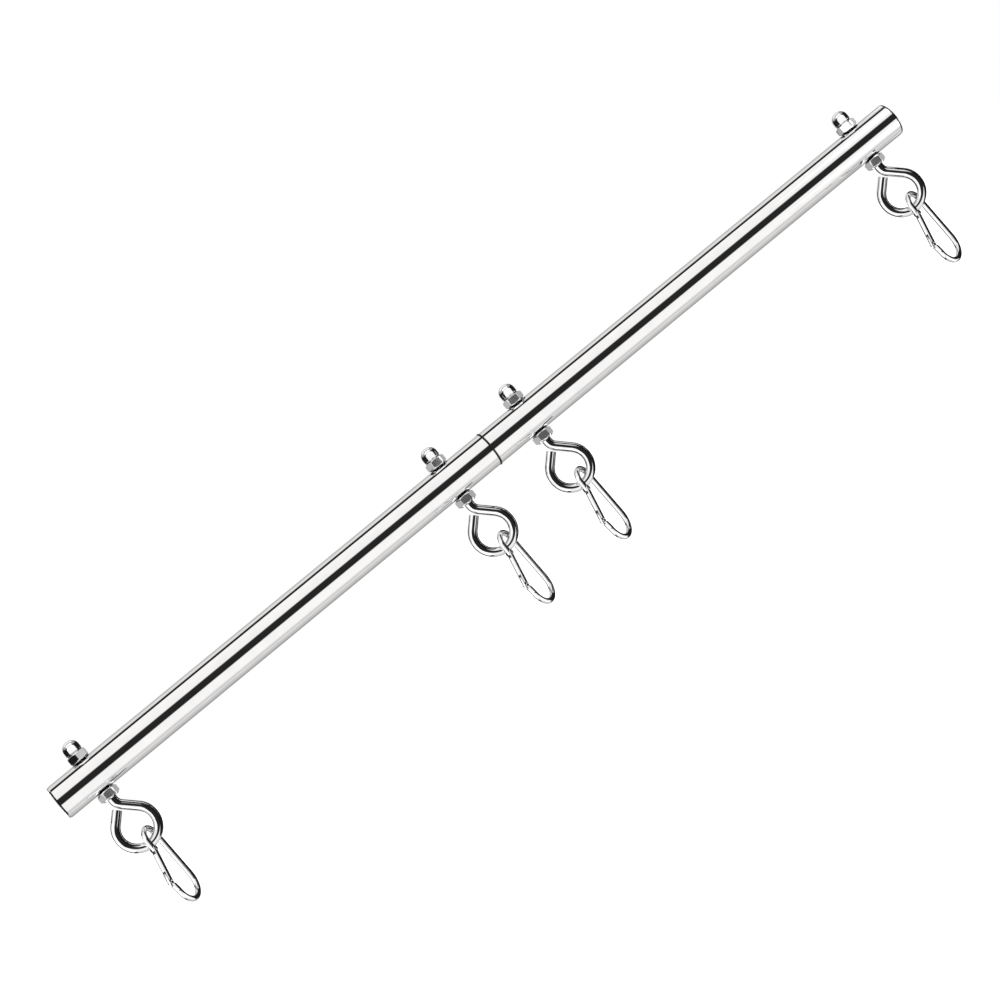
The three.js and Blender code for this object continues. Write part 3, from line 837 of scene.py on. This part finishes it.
# Lights that only some pieces reflect, as strips and cards are set for one piece at a time: the
# pieces, the angle round from the front and up, in degrees, the size in metres and the brightness
CARDS = {
    "hook_front": (HOOKS, (-26, 0), (9.0, 5.8), 0.5),
    "hook_low_right": (HOOKS, (78, -48), (7, 5), 0.75),
    "wire_left": (HOOKS + each("eye_bolt"), (-75, 0), (9, 14), 0.95),
    "tube_left_high": (TUBES, (-88, 41), (10, 3.7), 0.9),
    "tube_left_low": (TUBES, (-88, -38), (10, 4.4), 0.8),
    "tube_right_high": (TUBES, (88, 41), (10, 3.7), 0.9),
    "tube_right_low": (TUBES, (88, -38), (10, 4.4), 0.8),
    "tube_left_end": (TUBES, (-90, 0), (2.8, 2.8), 0.6),
    "tube_right_end": (TUBES, (90, 0), (2.8, 2.8), 0.6),
    "cap_side": (["left_end_cap", "right_end_cap"], (-140, 0), (9, 9), 0.8),
    "dome_front": (each("cap_nut_dome"), (0, 0), (18, 9), 0.95),
    "dome_top": (each("cap_nut_dome"), (180, 78), (18, 9), 0.35),
    "nut_front": (NUTS, (4, 0), (5.0, 6), 0.08),
    "first_nut_right": (["left_outer_cap_nut"], (53, 0), (3.0, 6), 0.55),
    "nut_edge_left": (EDGED_NUTS, (-55, 0), (10, 6), 1.3),
    "nut_edge_right": (EDGED_NUTS, (60, 0), (10, 6), 1.3),
    "cap_nut_low": (each("cap_nut"), (0, -62), (14, 4), 0.9),
    "hex_nut_low": (each("hex_nut"), (180, -66), (14, 5), 0.9),
    "nut_left_back": (NUTS, (-117, 0), (6, 6), 0.42),
    "nut_right_back": (NUTS, (124, 0), (6, 6), 0.38),
    "last_nut_front": (["right_outer_cap_nut"], (-18, 0), (1.6, 6), 0.8),
}


def card(name, pieces, angles, size, brightness):
    receivers = bpy.data.collections.new(name)
    for piece in pieces:
        receivers.objects.link(bpy.data.objects[f"{piece}_visual"])
    data = bpy.data.lights.new(name, "AREA")
    data.shape = "RECTANGLE"
    data.size, data.size_y = size
    # Cycles shows an area light at a quarter of its power for each square metre
    data.energy = 4 * data.size * data.size_y * brightness
    made = bpy.data.objects.new(name, data)
    bpy.context.scene.collection.objects.link(made)
    round_it, up = (math.radians(angle) for angle in angles)
    level = Vector((math.sin(round_it), -math.cos(round_it), 0))
    direction = level * math.cos(up) + Vector((0, 0, math.sin(up)))
    turn = direction.to_track_quat("Z", "Y").to_matrix().to_4x4()
    made.matrix_world = Matrix.Translation(direction * LIGHT_DISTANCE) @ turn
    made.visible_camera = False
    made.light_linking.receiver_collection = receivers


def ramp(nodes, value, stops):
    """A colour ramp through (place, grey) stops."""
    made = nodes.add("ShaderNodeValToRGB")
    elements = made.color_ramp.elements
    while len(elements) < len(stops):
        elements.new(0.5)
    for element, (position, grey) in zip(elements, stops):
        element.position = position
        element.color = (grey, grey, grey, 1)
    nodes.link(value, made, "Fac")
    return made.outputs["Color"]


def studio():
    """White to the camera. The metal reflects the bands above, between two dark side walls."""
    world = bpy.data.worlds.new("studio")
    bpy.context.scene.world = world
    world.use_nodes = True
    nodes = Nodes(world.node_tree)
    background = world.node_tree.nodes["Background"]
    direction = nodes.add("ShaderNodeTexCoord").outputs["Generated"]
    parts = nodes.add("ShaderNodeSeparateXYZ")
    nodes.link(direction, parts, "Vector")
    sideways, backwards, upwards = parts.outputs
    forwards = nodes.calculated("MULTIPLY", backwards, -1.0)
    turn = nodes.calculated("ARCTAN2", upwards, forwards)
    share = nodes.calculated("MULTIPLY_ADD", turn, 0.5 / math.pi, 0.5)
    bands = ramp(nodes, share, [((degrees + 180) / 360, grey) for degrees, grey in STUDIO])
    # The walls lean in behind the bar, so a wire's far side reflects them up to its rim
    off_middle = nodes.calculated("ABSOLUTE", sideways)
    reach = nodes.calculated("MULTIPLY_ADD", backwards, WALL_LEAN, off_middle)
    wall = ramp(nodes, reach, list(zip(WALL_EDGE, (0.0, 1.0))))
    room = nodes.mixed(wall, bands, (WALL_GREY, WALL_GREY, WALL_GREY, 1))
    seen = nodes.mixed(nodes.add("ShaderNodeLightPath").outputs["Is Camera Ray"], room, (1, 1, 1, 1))
    nodes.link(seen, background, "Color")


camera()
studio()
floor()
place_halves()
place_stations()
for name, settings in CARDS.items():
    card(name, *settings)
scene = bpy.context.scene
scene.view_settings.view_transform = "Standard"
scene.cycles.use_denoising = True
